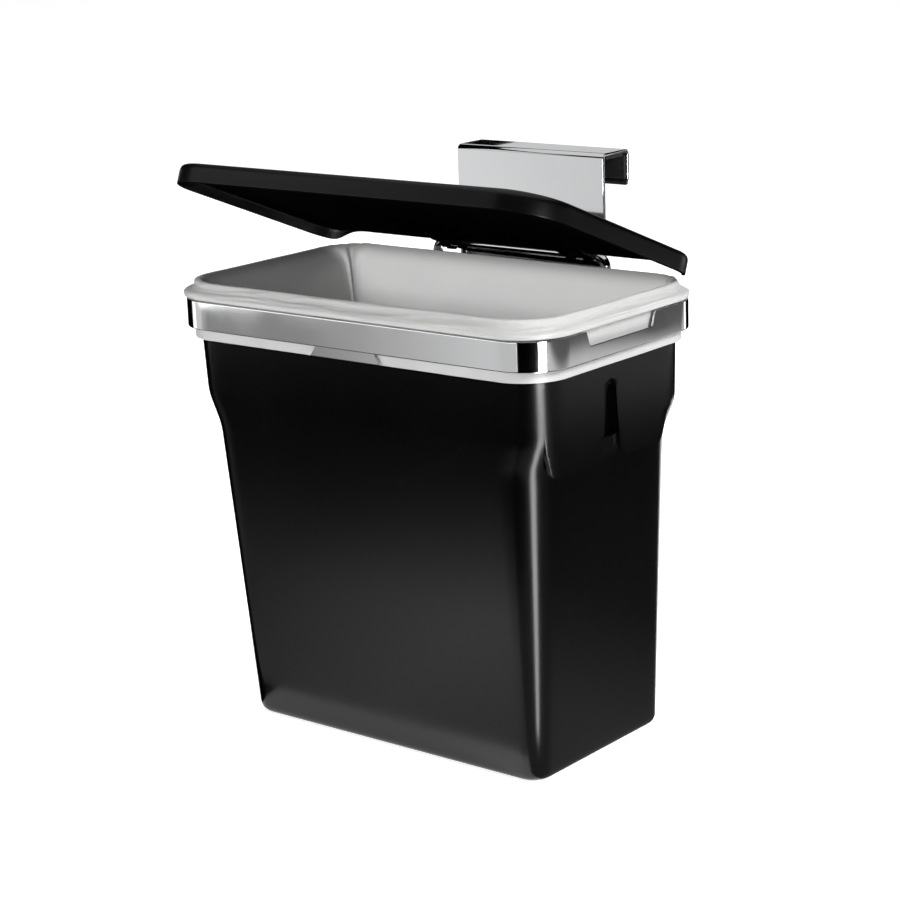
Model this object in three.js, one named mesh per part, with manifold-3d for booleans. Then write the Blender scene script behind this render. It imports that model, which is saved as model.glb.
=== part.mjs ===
// Over-the-door kitchen waste bin: a moulded bucket with a bag liner hangs in a steel band,
// the band hangs on a bent steel hook, and a shallow lid clips onto a bent rod behind the band.
// Millimetres. +X is to the right along the band, -Y the front, +Y the door side, +Z up.
// The origin is on the floor under the middle of the band. The lid is drawn partly open.
import * as THREE from 'three';
import { mergeVertices } from 'three/addons/utils/BufferGeometryUtils.js';
import Module from 'manifold-3d';

// ---------- driving dimensions ----------
const GAP = 0.3;                 // clearance between touching pieces
const CORNER_STEPS = 6;          // facets in each plan corner

const BUCKET_WALL = 2.2;         // moulded wall
const FLOOR_THICK = 2.5;
const STEP_LOW = 194;            // height where the lower body meets the sloped step
const STEP_HIGH = 214;           // height where the step meets the collar
const FLANGE_LOW = 277.4;        // underside of the flange that rests on the band
const FLANGE_HIGH = 279.6;
const RIM_TOP = 286.2;

const BAG_THICK = 0.6;
const HEM_LOW = 250.8;           // bottom edge of the turned-down liner
const BAG_BRIDGE = 246;          // the liner spans the step and meets the collar above this

const BAND_HALF_X = 144.1;
const BAND_HALF_Y = 85.4;
const BAND_CORNER = 29.5;
const BAND_THICK = 1.5;
const BAND_LOW = 258;
const BAND_HIGH = 275.7;
const NOTCH = { front: -39.9, back: 29.9, slope: 3.2, depth: 8.8 };
const TAB = { topHalf: 22.3, lowHalf: 27.3, low: 251.8, high: 260.5, thick: 1.3, lap: 0.4 };

const ROD_RADIUS = 3.2;
const ROD_Y = 89.1;
const ROD_Z = 291.6;
const ROD_HALF = 67;             // half the distance between the two legs' centres
const ROD_BEND = 7;
const ROD_LEG_LOW = 261;

const PLATE_HALF_X = 57.6;
const PLATE_THICK = 2;
const PLATE_Y = 100.9;           // front face of the hook plate
const HOOK_TOP = 353.8;
const HOOK_DEPTH = 29.3;         // plate front to back of the rear leg
const LEG_LOW = 331;
const LIP = 4;                   // forward return at the foot of the rear leg
const SHELF_TOP = 272;
const FLANGE_FOOT = 259.4;
const BEND_RADIUS = 1.8;         // inner radius of every bend in the sheet
const PAD_THICK = 2;
const PAD_LOW = 290;             // foot of the pad on the plate

const RIVET_X = [-38, 0, 38];
const RIVET_Z = 265;
const RIVET_RADIUS = 2;

const LID_HALF_X = 145.8;
const LID_FRONT = -95.7;
const LID_BACK = 82.5;
const LID_CORNER = 31;
const LID_THICK = 2.2;
const LID_LOW = 281.7;
const LID_TOP = 294.3;
const LID_BACK_LOW = 291.2;      // the skirt is cut away behind, to pass over the rim
const LID_OPEN_DEG = 21.5;        // angle at which the lid is drawn
const EAR_X = [-60.5, -47, 39.5, 53];
const EAR_WIDTH = 7.5;
const EAR_RADIUS = 5.4;
const EAR_BORE = ROD_RADIUS + GAP;
const EAR_MOUTH_DEG = 60;

// ---------- materials ----------
const material = (color, roughness, metalness) =>
  new THREE.MeshStandardMaterial({ color, roughness, metalness });
const BLACK_PLASTIC = material(0x1b1b1d, 0.55, 0);
const LID_PLASTIC = material(0x151517, 0.38, 0);
const STEEL = material(0xc9cbcd, 0.12, 1);
const FOAM = material(0x0c0c0d, 0.95, 0);
const LINER_FILM = material(0xeeeeec, 0.5, 0);

// ---------- solids ----------
const wasm = await Module();
wasm.setup();

// Returns the geometry with shared vertices merged and its faces pointing out.
function closed(geometry) {
  const plain = geometry.clone();
  plain.deleteAttribute('normal');
  plain.deleteAttribute('uv');
  const merged = mergeVertices(plain, 1e-4);
  const position = merged.getAttribute('position');
  const index = Array.from(merged.index.array);
  const corner = [new THREE.Vector3(), new THREE.Vector3(), new THREE.Vector3()];
  let volume = 0;
  for (let i = 0; i < index.length; i += 3) {
    corner.forEach((point, k) => point.fromBufferAttribute(position, index[i + k]));
    volume += corner[0].dot(corner[1].clone().cross(corner[2]));
  }
  if (volume < 0) index.reverse();
  merged.setIndex(index);
  return merged;
}

function toManifold(geometry) {
  const solid = closed(geometry);
  const vertProperties = new Float32Array(solid.getAttribute('position').array);
  const triVerts = new Uint32Array(solid.index.array);
  return new wasm.Manifold(new wasm.Mesh({ numProp: 3, vertProperties, triVerts }));
}

function toGeometry(manifold) {
  const mesh = manifold.getMesh();
  const geometry = new THREE.BufferGeometry();
  geometry.setAttribute('position', new THREE.BufferAttribute(mesh.vertProperties, 3));
  geometry.setIndex(new THREE.BufferAttribute(mesh.triVerts, 1));
  return geometry;
}

// A rounded rectangle at height z, counter-clockwise seen from above.
function outline(z, halfX, front, back, radius) {
  const centres = [[halfX - radius, back - radius], [radius - halfX, back - radius],
    [radius - halfX, front + radius], [halfX - radius, front + radius]];
  return centres.flatMap(([x, y], quarter) =>
    Array.from({ length: CORNER_STEPS + 1 }, (_, step) => {
      const angle = (quarter + step / CORNER_STEPS) * Math.PI / 2;
      return new THREE.Vector3(x + radius * Math.cos(angle), y + radius * Math.sin(angle), z);
    }));
}

// Joins outlines one after another: a cup or tray when capped, a ring when looped.
function loft(outlines, looped = false) {
  const count = outlines[0].length;
  const points = outlines.flat();
  const faces = [];
  const joins = looped ? outlines.length : outlines.length - 1;
  for (let row = 0; row < joins; row += 1) {
    const next = (row + 1) % outlines.length;
    for (let side = 0; side < count; side += 1) {
      const across = (side + 1) % count;
      const [a, b] = [row * count + side, row * count + across];
      const [c, d] = [next * count + across, next * count + side];
      faces.push(a, b, c, a, c, d);
    }
  }
  if (!looped) {
    const last = (outlines.length - 1) * count;
    for (let side = 1; side < count - 1; side += 1) {
      faces.push(0, side + 1, side, last, last + side, last + side + 1);
    }
  }
  const geometry = new THREE.BufferGeometry().setFromPoints(points);
  geometry.setIndex(faces);
  return closed(geometry);
}

// Extrudes a side view drawn in (y, z) along X, from x = low to x = high.
function sideExtrusion(shape, low, high) {
  const geometry = new THREE.ExtrudeGeometry(shape, { depth: high - low, bevelEnabled: false,
    curveSegments: CORNER_STEPS });
  const turn = new THREE.Matrix4().makeBasis(new THREE.Vector3(0, 1, 0),
    new THREE.Vector3(0, 0, 1), new THREE.Vector3(1, 0, 0));
  geometry.applyMatrix4(turn);
  geometry.translate(low, 0, 0);
  return geometry;
}

const polygon = (pairs) => new THREE.Shape(pairs.map(([u, v]) => new THREE.Vector2(u, v)));

function piece(name, geometry, look) {
  const mesh = new THREE.Mesh(closed(geometry), look);
  mesh.name = name;
  return mesh;
}

// ---------- bucket ----------
// Rows are height, half width, front, back and plan corner radius.
const BUCKET_OUTSIDE = [
  [0, 111.6, -53.8, 70.2, 9],
  [1.8, 114.2, -56.4, 72.8, 11],
  [6, 116, -58.2, 74.6, 13],
  [STEP_LOW, 128.4, -74.6, 76, 25],
  [STEP_HIGH, 136.4, -76.4, 78.8, 26],
  [FLANGE_LOW, 137.6, -80.3, 80, 27],
  [FLANGE_LOW, 144.6, -85.9, 84.1, 30],
  [FLANGE_HIGH, 144.6, -85.9, 84.1, 30],
  [FLANGE_HIGH + 1.2, 138.6, -80.8, 79.6, 28.6],
  [RIM_TOP - 1.2, 138.6, -80.8, 79.6, 28.6],
  [RIM_TOP, 137.6, -79.8, 79, 28],
];
const inset = (row, height) =>
  [height, row[1] - BUCKET_WALL, row[2] + BUCKET_WALL, row[3] - BUCKET_WALL, row[4] - 1];
const BUCKET_INSIDE = [
  [RIM_TOP, 136.2, -78.6, 77.9, 27],
  inset(BUCKET_OUTSIDE[5], RIM_TOP - 1.2),
  inset(BUCKET_OUTSIDE[4], STEP_HIGH),
  inset(BUCKET_OUTSIDE[3], STEP_LOW),
  inset(BUCKET_OUTSIDE[2], FLOOR_THICK + 5),
  inset(BUCKET_OUTSIDE[0], FLOOR_THICK),
];

// A skirt on each short side hangs down over the recess, with a tapered slot in it that holds a bag's
// handle. The front end of the left one is set further back.
const SKIRT_LOW = 191.8;
const SKIRT_FRONT_END = [[-66, 222], [-65.1, 214], [-64.2, 207], [-62.8, 201], [-61.7, 195.6],
  [-59.7, 193], [-57, SKIRT_LOW]];
const SKIRT_BACK_END = [[43.8, SKIRT_LOW], [46.9, 194.8], [52.6, 210.4], [58.1, 215.4], [60, 222]];
const LEFT_SET_BACK = 14;
const SLOT_TOP = [[-1.1, 230.2], [-1.8, 236.3], [-3.3, 239.2], [-5.9, 241], [-8.6, 239.6],
  [-10.2, 237], [-11.8, 232]];
const SLOT_OUTLINE = [[-20.5, 180], [7.7, 180], [7.7, SKIRT_LOW - 0.2], [4.5, 193.2], [3.1, 195.7],
  ...SLOT_TOP, [-14.3, 199.6], [-15.2, 196], [-17.2, 193], [-20.5, SKIRT_LOW - 0.2]];
const SKIRT_OUT = 136.6;         // half width at the skirt's outer face
const POCKET_FLOOR = 129;        // half width at the back of the slot
const POCKET_LOW = 206;

function bucket() {
  let solid = toManifold(loft([...BUCKET_OUTSIDE, ...BUCKET_INSIDE].map((row) => outline(...row))));
  for (const side of [-1, 1]) {
    const setBack = side < 0 ? LEFT_SET_BACK : 0;
    const frontEnd = SKIRT_FRONT_END.map(([y, z]) => [y + setBack, z]);
    const span = (inner, outer) => [side * inner, side * outer].sort((p, q) => p - q);
    const slab = (shape, inner, outer) => toManifold(sideExtrusion(shape, ...span(inner, outer)));
    const skirt = slab(polygon([...frontEnd, ...SKIRT_BACK_END]), SKIRT_OUT - 2, SKIRT_OUT);
    const backing = slab(polygon([[-18, 200], [7, 200], [4, 245], [-16, 245]]),
      POCKET_FLOOR - BUCKET_WALL, SKIRT_OUT - 1);
    const slot = slab(polygon(SLOT_OUTLINE), SKIRT_OUT - 2.1, SKIRT_OUT + 5);
    const pocket = slab(polygon([...SLOT_TOP, [-13.7, POCKET_LOW], [1.8, POCKET_LOW]]),
      POCKET_FLOOR, SKIRT_OUT + 5);
    solid = solid.add(backing).add(skirt).subtract(slot).subtract(pocket);
  }
  return piece('bucket', toGeometry(solid), BLACK_PLASTIC);
}

// ---------- liner ----------
// The bag lines the bucket, turns over the rim and flange, and hangs down behind the band.
function liner() {
  const grow = (row, by, lift) =>
    [row[0] + lift, row[1] + by, row[2] - by, row[3] + by, row[4] + by];
  const near = GAP;
  const far = GAP + BAG_THICK;
  const insideRow = (row, by, lift) => grow(row, -by, lift);
  const [rimIn, collarIn, recessIn, stepIn, floorSide, floorIn] = BUCKET_INSIDE;
  const collarAt = (height) => recessIn.map((value, k) =>
    THREE.MathUtils.lerp(value, collarIn[k], (height - STEP_HIGH) / (collarIn[0] - STEP_HIGH)));
  const bridge = collarAt(BAG_BRIDGE);
  bridge[1] = stepIn[1];
  const inner = (by) => [insideRow(floorIn, by, by), insideRow(floorSide, by, by),
    insideRow(stepIn, by, 0), insideRow(bridge, by, 0),
    insideRow(collarAt(BAG_BRIDGE + 16), by, 0), insideRow(collarIn, by, 0)];
  const [collarOut, flangeUnder, flangeTop, rimFoot, rimSide, rimOut] = BUCKET_OUTSIDE.slice(5);
  const over = (by) => [insideRow(rimIn, by * 0.5, by), grow(rimOut, by * 0.5, by),
    grow(rimSide, by, 0), grow(rimFoot, by, by * 0.6), grow(flangeTop, by, by)];
  const hem = [HEM_LOW, ...collarOut.slice(1)];
  const under = [grow(flangeUnder, near, -near), grow(collarOut, near, -near), grow(hem, near, 0)];
  const back = [grow(hem, far, 0), grow(collarOut, far, -far), grow(flangeUnder, far, -far)];
  const rows = [...inner(near), ...over(near), ...under, ...back, ...over(far).reverse(),
    ...inner(far).reverse()];
  return piece('bag_liner', loft(rows.map((row) => outline(...row))), LINER_FILM);
}

// ---------- frame band ----------
function frameBand() {
  const row = (z, by) =>
    outline(z, BAND_HALF_X - by, by - BAND_HALF_Y, BAND_HALF_Y - by, BAND_CORNER - by);
  const ring = loft([row(BAND_LOW, 0), row(BAND_HIGH, 0), row(BAND_HIGH, BAND_THICK),
    row(BAND_LOW, BAND_THICK)], true);
  const floor = BAND_HIGH - NOTCH.depth;
  const notch = polygon([[NOTCH.front, BAND_HIGH + 5], [NOTCH.front, BAND_HIGH],
    [NOTCH.front + NOTCH.slope, floor + 1.5], [NOTCH.front + NOTCH.slope + 1.5, floor],
    [NOTCH.back - NOTCH.slope - 1.5, floor], [NOTCH.back - NOTCH.slope, floor + 1.5],
    [NOTCH.back, BAND_HIGH], [NOTCH.back, BAND_HIGH + 5]]);
  // The finger tab hangs from the inner face of the front and is lapped into it.
  const tab = new THREE.ExtrudeGeometry(polygon([[-TAB.lowHalf, TAB.low], [TAB.lowHalf, TAB.low],
    [TAB.topHalf, BAND_LOW], [TAB.topHalf, TAB.high], [-TAB.topHalf, TAB.high],
    [-TAB.topHalf, BAND_LOW]]), { depth: TAB.thick, bevelEnabled: false });
  tab.rotateX(Math.PI / 2);
  tab.translate(0, TAB.thick - TAB.lap + BAND_THICK - BAND_HALF_Y, 0);
  let solid = toManifold(ring).add(toManifold(tab));
  solid = solid.subtract(toManifold(sideExtrusion(notch, -BAND_HALF_X - 5, BAND_HALF_X + 5)));
  for (const x of RIVET_X) solid = solid.subtract(toManifold(rivetHole(x)));
  return piece('frame_band', toGeometry(solid), STEEL);
}

function rivetHole(x) {
  const hole = new THREE.CylinderGeometry(RIVET_RADIUS + GAP, RIVET_RADIUS + GAP, 12, 16);
  hole.translate(x, BAND_HALF_Y, RIVET_Z);
  return hole;
}

// ---------- hinge rod ----------
// One rod bent into a U, upside down, with its two legs against the back of the band.
function hingeRod() {
  const path = [[-ROD_HALF, ROD_LEG_LOW, Math.PI / 2]];
  const bend = (centreX, from, to) => {
    for (let step = 0; step <= CORNER_STEPS; step += 1) {
      const angle = THREE.MathUtils.degToRad(from + (to - from) * step / CORNER_STEPS);
      path.push([centreX + ROD_BEND * Math.cos(angle),
        ROD_Z - ROD_BEND + ROD_BEND * Math.sin(angle), angle - Math.PI / 2]);
    }
  };
  bend(ROD_BEND - ROD_HALF, 180, 90);
  bend(ROD_HALF - ROD_BEND, 90, 0);
  path.push([ROD_HALF, ROD_LEG_LOW, -Math.PI / 2]);
  const sides = 12;
  const rings = path.map(([x, z, heading]) => Array.from({ length: sides }, (_, k) => {
    const angle = 2 * Math.PI * k / sides;
    const across = ROD_RADIUS * Math.cos(angle);
    return new THREE.Vector3(x + across * Math.sin(heading), ROD_Y + ROD_RADIUS * Math.sin(angle),
      z - across * Math.cos(heading));
  }));
  return piece('hinge_rod', loft(rings), STEEL);
}

// ---------- hook bracket ----------
// Offsets a bent centre line to both sides, with a round bend at each corner.
function bentStrip(corners, thick) {
  const radius = BEND_RADIUS + thick / 2;
  const points = corners.map(([u, v]) => new THREE.Vector2(u, v));
  const left = [];
  const right = [];
  const put = (point, normal) => {
    left.push(point.clone().addScaledVector(normal, thick / 2));
    right.push(point.clone().addScaledVector(normal, -thick / 2));
  };
  const normalOf = (from, to) => {
    const along = to.clone().sub(from).normalize();
    return new THREE.Vector2(-along.y, along.x);
  };
  put(points[0], normalOf(points[0], points[1]));
  for (let i = 1; i < points.length - 1; i += 1) {
    const before = normalOf(points[i - 1], points[i]);
    const after = normalOf(points[i], points[i + 1]);
    const turn = Math.sign(before.cross(after));
    const centre = points[i].clone().addScaledVector(before.clone().add(after), turn * radius);
    for (let step = 0; step <= 4; step += 1) {
      const normal = before.clone().rotateAround(new THREE.Vector2(), turn * Math.PI / 2 * step / 4);
      put(centre.clone().addScaledVector(normal, -turn * radius), normal);
    }
  }
  put(points.at(-1), normalOf(points.at(-2), points.at(-1)));
  return new THREE.Shape([...left, ...right.reverse()]);
}

function hookBracket() {
  const half = PLATE_THICK / 2;
  const footY = BAND_HALF_Y + GAP + half;
  const plateY = PLATE_Y + half;
  const legY = PLATE_Y + HOOK_DEPTH - half;
  const strip = bentStrip([[footY, FLANGE_FOOT], [footY, SHELF_TOP - half],
    [plateY, SHELF_TOP - half], [plateY, HOOK_TOP - half], [legY, HOOK_TOP - half],
    [legY, LEG_LOW + half], [legY + half - LIP, LEG_LOW + half]], PLATE_THICK);
  let solid = toManifold(sideExtrusion(strip, -PLATE_HALF_X, PLATE_HALF_X));
  for (const x of RIVET_X) solid = solid.subtract(toManifold(rivetHole(x)));
  return piece('hook_bracket', toGeometry(solid), STEEL);
}

// ---------- foam pads ----------
function pad(name, lowY, highY, lowZ, highZ) {
  const width = 2 * PLATE_HALF_X - 2;
  const box = new THREE.BoxGeometry(width, highY - lowY, highZ - lowZ);
  box.translate(0, (lowY + highY) / 2, (lowZ + highZ) / 2);
  return piece(name, box, FOAM);
}

function pads() {
  const plateBack = PLATE_Y + PLATE_THICK + GAP;
  const legFront = PLATE_Y + HOOK_DEPTH - PLATE_THICK - GAP;
  const underside = HOOK_TOP - PLATE_THICK - GAP;
  const clearOfBend = BEND_RADIUS + 0.5;
  const high = underside - clearOfBend;
  return [
    pad('pad_plate', plateBack, plateBack + PAD_THICK, PAD_LOW, high),
    pad('pad_leg', legFront - PAD_THICK, legFront, LEG_LOW + PLATE_THICK + clearOfBend, high),
    pad('pad_bridge', plateBack + PAD_THICK + 1, legFront - PAD_THICK - 1,
      underside - PAD_THICK, underside),
  ];
}

// ---------- rivets ----------
function rivet(name, x) {
  const inner = BAND_HALF_Y - BAND_THICK - GAP;
  const outer = BAND_HALF_Y + GAP + PLATE_THICK + GAP;
  const profile = [[0, inner - 0.7], [2.9, inner - 0.7], [3.4, inner], [RIVET_RADIUS, inner],
    [RIVET_RADIUS, outer], [4, outer], [3.6, outer + 1], [2, outer + 1.6], [0, outer + 1.8]];
  const geometry = new THREE.LatheGeometry(profile.map(([r, y]) => new THREE.Vector2(r, y)), 16);
  geometry.translate(x, 0, RIVET_Z);
  return piece(name, geometry, STEEL);
}

// ---------- lid ----------
const LID_OUTSIDE = [
  [LID_LOW, 0], [LID_TOP - 4.5, 0.2], [LID_TOP - 1.6, 1.6], [LID_TOP - 0.4, 4], [LID_TOP, 7],
];
const LID_INSIDE = [
  [LID_TOP - LID_THICK, 12], [LID_TOP - LID_THICK - 0.6, 6.5], [LID_TOP - LID_THICK - 2.6, 3.2],
  [LID_LOW, LID_THICK],
];

// Drawn shut. Its four open clips snap onto the rod.
function lid() {
  const row = ([z, by]) => outline(z, LID_HALF_X - by, LID_FRONT + by, LID_BACK - by, LID_CORNER - by);
  const tray = loft([...LID_INSIDE, ...LID_OUTSIDE].map(row));
  const backCut = polygon([[69.5, LID_LOW - 5], [69.5, LID_LOW], [71.2, LID_LOW + 0.8],
    [74.5, LID_BACK_LOW - 2.8], [76.6, LID_BACK_LOW - 0.8], [79, LID_BACK_LOW], [100, LID_BACK_LOW],
    [100, LID_LOW - 5]]);
  let solid = toManifold(tray);
  solid = solid.subtract(toManifold(sideExtrusion(backCut, -LID_HALF_X - 5, LID_HALF_X + 5)));
  for (const x of EAR_X) solid = solid.add(toManifold(sideExtrusion(earShape(), x, x + EAR_WIDTH)));
  const mesh = piece('lid', toGeometry(solid), LID_PLASTIC);
  mesh.geometry.translate(0, -ROD_Y, -ROD_Z);
  mesh.position.set(0, ROD_Y, ROD_Z);
  mesh.rotation.x = -THREE.MathUtils.degToRad(LID_OPEN_DEG);
  return mesh;
}

function earShape() {
  const outer = [];
  const inner = [];
  const mouth = EAR_MOUTH_DEG / 2;
  const at = (degrees, radius) => {
    const angle = THREE.MathUtils.degToRad(degrees);
    return [ROD_Y + radius * Math.cos(angle), ROD_Z + radius * Math.sin(angle)];
  };
  const steps = 14;
  for (let step = 0; step <= steps; step += 1) {
    outer.push(at(150 - (150 + 90 - mouth) * step / steps, EAR_RADIUS));
    inner.push(at(mouth - 90 + (360 - 2 * mouth) * step / steps, EAR_BORE));
  }
  return polygon([[64, LID_TOP - 1], ...outer, ...inner, at(270 - mouth, EAR_RADIUS),
    at(206, EAR_RADIUS), [74, LID_LOW + 7.6], [64, LID_TOP - LID_THICK + 0.4]]);
}

// ---------- assembly ----------
const bin = new THREE.Group();
bin.add(bucket(), liner(), frameBand(), hingeRod(), hookBracket(), ...pads(), lid());
['left', 'middle', 'right'].forEach((side, k) => bin.add(rivet(`rivet_${side}`, RIVET_X[k])));

export default bin;
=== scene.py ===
"""Looks for the over-door waste bin: smooth bucket, film liner, polished steel, black lid.

Lengths are millimetres in the row frame until a mesh is made; Blender holds metres.
"""
import math

import bmesh
import bpy
import numpy as np
from mathutils import Matrix, Vector, noise


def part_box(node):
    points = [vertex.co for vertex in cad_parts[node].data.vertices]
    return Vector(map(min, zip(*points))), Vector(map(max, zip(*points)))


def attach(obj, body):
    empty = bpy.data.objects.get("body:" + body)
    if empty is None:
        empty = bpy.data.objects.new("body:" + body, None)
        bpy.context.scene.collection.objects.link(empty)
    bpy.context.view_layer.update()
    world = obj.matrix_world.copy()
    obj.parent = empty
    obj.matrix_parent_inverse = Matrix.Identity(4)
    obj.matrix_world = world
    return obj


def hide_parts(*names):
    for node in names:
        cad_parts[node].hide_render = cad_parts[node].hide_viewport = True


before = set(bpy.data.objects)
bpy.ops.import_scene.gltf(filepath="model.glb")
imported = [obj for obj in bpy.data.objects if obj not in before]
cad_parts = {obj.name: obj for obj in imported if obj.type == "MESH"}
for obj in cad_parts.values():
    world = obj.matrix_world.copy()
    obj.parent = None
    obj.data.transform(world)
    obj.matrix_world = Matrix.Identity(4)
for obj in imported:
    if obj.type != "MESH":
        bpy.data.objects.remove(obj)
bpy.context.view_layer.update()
MM = 0.001

# ---------------------------------------------------------------- shared sizes (mm)
STEP_LOW, STEP_HIGH = 194.0, 214.0
FLANGE_LOW, FLANGE_HIGH, RIM_TOP = 277.4, 279.6, 286.2
BAND_HALF_X, BAND_HALF_Y, BAND_CORNER, BAND_THICK = 144.1, 85.4, 29.5, 1.5
BAND_LOW, BAND_HIGH = 258.0, 275.7
ROD_RADIUS, ROD_Y, ROD_Z = 3.2, 89.1, 291.6
LID_OPEN_DEG = 21.5


# ---------------------------------------------------------------- mesh helpers
def corner_ring(row, corner_steps=14, long_steps=24, short_steps=14):
    """Rounded rectangle (z, half width, front, back, corner radius), anticlockwise from +X."""
    z, half_x, front, back, radius = row
    centres = [(half_x - radius, back - radius), (radius - half_x, back - radius),
               (radius - half_x, front + radius), (half_x - radius, front + radius)]
    parts = []
    for index, (cx, cy) in enumerate(centres):
        angle = np.radians(90 * (index + np.arange(corner_steps + 1) / corner_steps))
        arc = np.column_stack([cx + radius * np.cos(angle), cy + radius * np.sin(angle)])
        parts.append(arc)
        nx, ny = centres[(index + 1) % 4]
        turn = math.radians(90 * (index + 1))
        end = np.array([nx + radius * math.cos(turn), ny + radius * math.sin(turn)])
        steps = short_steps if index % 2 else long_steps
        t = (np.arange(1, steps) / steps)[:, None]
        parts.append(arc[-1] + t * (end - arc[-1]))
    xy = np.concatenate(parts)
    return np.column_stack([xy, np.full(len(xy), float(z))])


def fillet_rows(rows, sizes, steps=6):
    """Rounds the inner rows of a profile; sizes holds one length per row, 0 for a sharp one."""
    rows = [np.array(r, float) for r in rows]
    out = [rows[0]]
    for i in range(1, len(rows) - 1):
        if not sizes[i]:
            out.append(rows[i])
            continue
        before, after = rows[i - 1] - rows[i], rows[i + 1] - rows[i]
        start = rows[i] + before * min(sizes[i] / np.hypot(*before[:2]), 0.5)
        end = rows[i] + after * min(sizes[i] / np.hypot(*after[:2]), 0.5)
        for t in np.linspace(0, 1, steps + 1):
            out.append((1 - t) ** 2 * start + 2 * t * (1 - t) * rows[i] + t * t * end)
    out.append(rows[-1])
    return out


def denser(rows, longest):
    """Adds rows so that no two neighbours are further apart than longest."""
    out = [rows[0]]
    for a, b in zip(rows, rows[1:]):
        n = max(1, math.ceil(np.hypot(*(b - a)[:2]) / longest))
        out += [a + (b - a) * k / n for k in range(1, n + 1)]
    return out


def loft(rings, cap_first=True, cap_last=True, looped=False):
    """Points and faces of a skin over closed rings with equal counts."""
    n = len(rings[0])
    faces = []
    for r in range(len(rings) if looped else len(rings) - 1):
        a, b = r * n, ((r + 1) % len(rings)) * n
        faces += [(a + i, a + (i + 1) % n, b + (i + 1) % n, b + i) for i in range(n)]
    if not looped and cap_first:
        faces.append(tuple(range(n - 1, -1, -1)))
    if not looped and cap_last:
        faces.append(tuple(range((len(rings) - 1) * n, len(rings) * n)))
    return np.concatenate(rings), faces


def make(name, points, faces, material, sharp_deg=35, turn=None, merge=True):
    """A mesh object from points in mm, with smooth faces and sharp edges by angle."""
    points = np.asarray(points, float)
    if turn is not None:
        points = points @ np.array(turn.to_3x3()).T + np.array(turn.translation)
    mesh = bpy.data.meshes.new(name)
    mesh.from_pydata((points * MM).tolist(), [], [tuple(int(v) for v in f) for f in faces])
    work = bmesh.new()
    work.from_mesh(mesh)
    if merge:
        bmesh.ops.remove_doubles(work, verts=work.verts, dist=1e-7)
    bmesh.ops.recalc_face_normals(work, faces=work.faces)
    work.to_mesh(mesh)
    work.free()
    finish_mesh(mesh, sharp_deg)
    obj = bpy.data.objects.new(name, mesh)
    bpy.context.scene.collection.objects.link(obj)
    obj.data.materials.append(material)
    return obj


def finish_mesh(mesh, sharp_deg):
    mesh.polygons.foreach_set("use_smooth", [True] * len(mesh.polygons))
    mesh.set_sharp_from_angle(angle=math.radians(sharp_deg))


def bake_modifiers(obj, sharp_deg=35):
    """Replaces the mesh with the one its modifiers make."""
    graph = bpy.context.evaluated_depsgraph_get()
    graph.update()
    mesh = bpy.data.meshes.new_from_object(obj.evaluated_get(graph))
    obj.modifiers.clear()
    obj.data = mesh
    finish_mesh(mesh, sharp_deg)
    return obj


def boolean(obj, cutters, operation, sharp_deg=35):
    """Joins, cuts or intersects a piece with others, which are used up."""
    for cutter in cutters:
        mod = obj.modifiers.new("cut", "BOOLEAN")
        mod.operation = operation
        mod.solver = "EXACT"
        mod.object = cutter
    bake_modifiers(obj, sharp_deg)
    for cutter in cutters:
        bpy.data.objects.remove(cutter)
    return obj


def bevel(obj, width, segments=3, degrees=40, sharp_deg=20):
    """Rounds the edges that turn by more than the given degrees; width in mm."""
    mod = obj.modifiers.new("edge", "BEVEL")
    mod.width = width * MM
    mod.segments = segments
    mod.limit_method = "ANGLE"
    mod.angle_limit = math.radians(degrees)
    mod.use_clamp_overlap = True
    return bake_modifiers(obj, sharp_deg)


def extrude_x(outline, low, high):
    """A closed (y, z) outline carried from x = low to x = high, numbers or functions of z."""
    outline = np.array(outline, float)
    rings = []
    for end in (low, high):
        x = [end(z) if callable(end) else end for _, z in outline]
        rings.append(np.column_stack([x, outline]))
    return loft(rings)


def round_corners(points, sizes, steps=6):
    """Rounds a closed polygon's corners with curves that start the given length from each."""
    points = [np.array(p, float) for p in points]
    if np.isscalar(sizes):
        sizes = [sizes] * len(points)
    out = []
    for i, p in enumerate(points):
        if not sizes[i]:
            out.append(p)
            continue
        before, after = points[i - 1] - p, points[(i + 1) % len(points)] - p
        start = p + before * min(sizes[i] / np.hypot(*before), 0.5)
        end = p + after * min(sizes[i] / np.hypot(*after), 0.5)
        for t in np.linspace(0, 1, steps + 1):
            out.append((1 - t) ** 2 * start + 2 * t * (1 - t) * p + t * t * end)
    return out


# ---------------------------------------------------------------- materials
def principled(name, color, roughness, metallic=0.0, **extra):
    material = bpy.data.materials.new(name)
    material.use_nodes = True
    shader = material.node_tree.nodes["Principled BSDF"]
    shader.inputs["Base Color"].default_value = (*color, 1)
    shader.inputs["Roughness"].default_value = roughness
    shader.inputs["Metallic"].default_value = metallic
    for socket, value in extra.items():
        shader.inputs[socket.replace("_", " ")].default_value = value
    return material, material.node_tree, shader


def coordinates(tree, scale=(1, 1, 1)):
    """Object coordinates; every piece sits at the origin, so they are the row frame's metres."""
    source = tree.nodes.new("ShaderNodeTexCoord")
    mapping = tree.nodes.new("ShaderNodeMapping")
    mapping.inputs["Scale"].default_value = scale
    tree.links.new(source.outputs["Object"], mapping.inputs["Vector"])
    return mapping.outputs["Vector"]


def noise_node(tree, vector, scale, detail=3.0, roughness=0.55):
    node = tree.nodes.new("ShaderNodeTexNoise")
    node.inputs["Scale"].default_value = scale
    node.inputs["Detail"].default_value = detail
    node.inputs["Roughness"].default_value = roughness
    tree.links.new(vector, node.inputs["Vector"])
    return node.outputs["Fac"]


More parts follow.
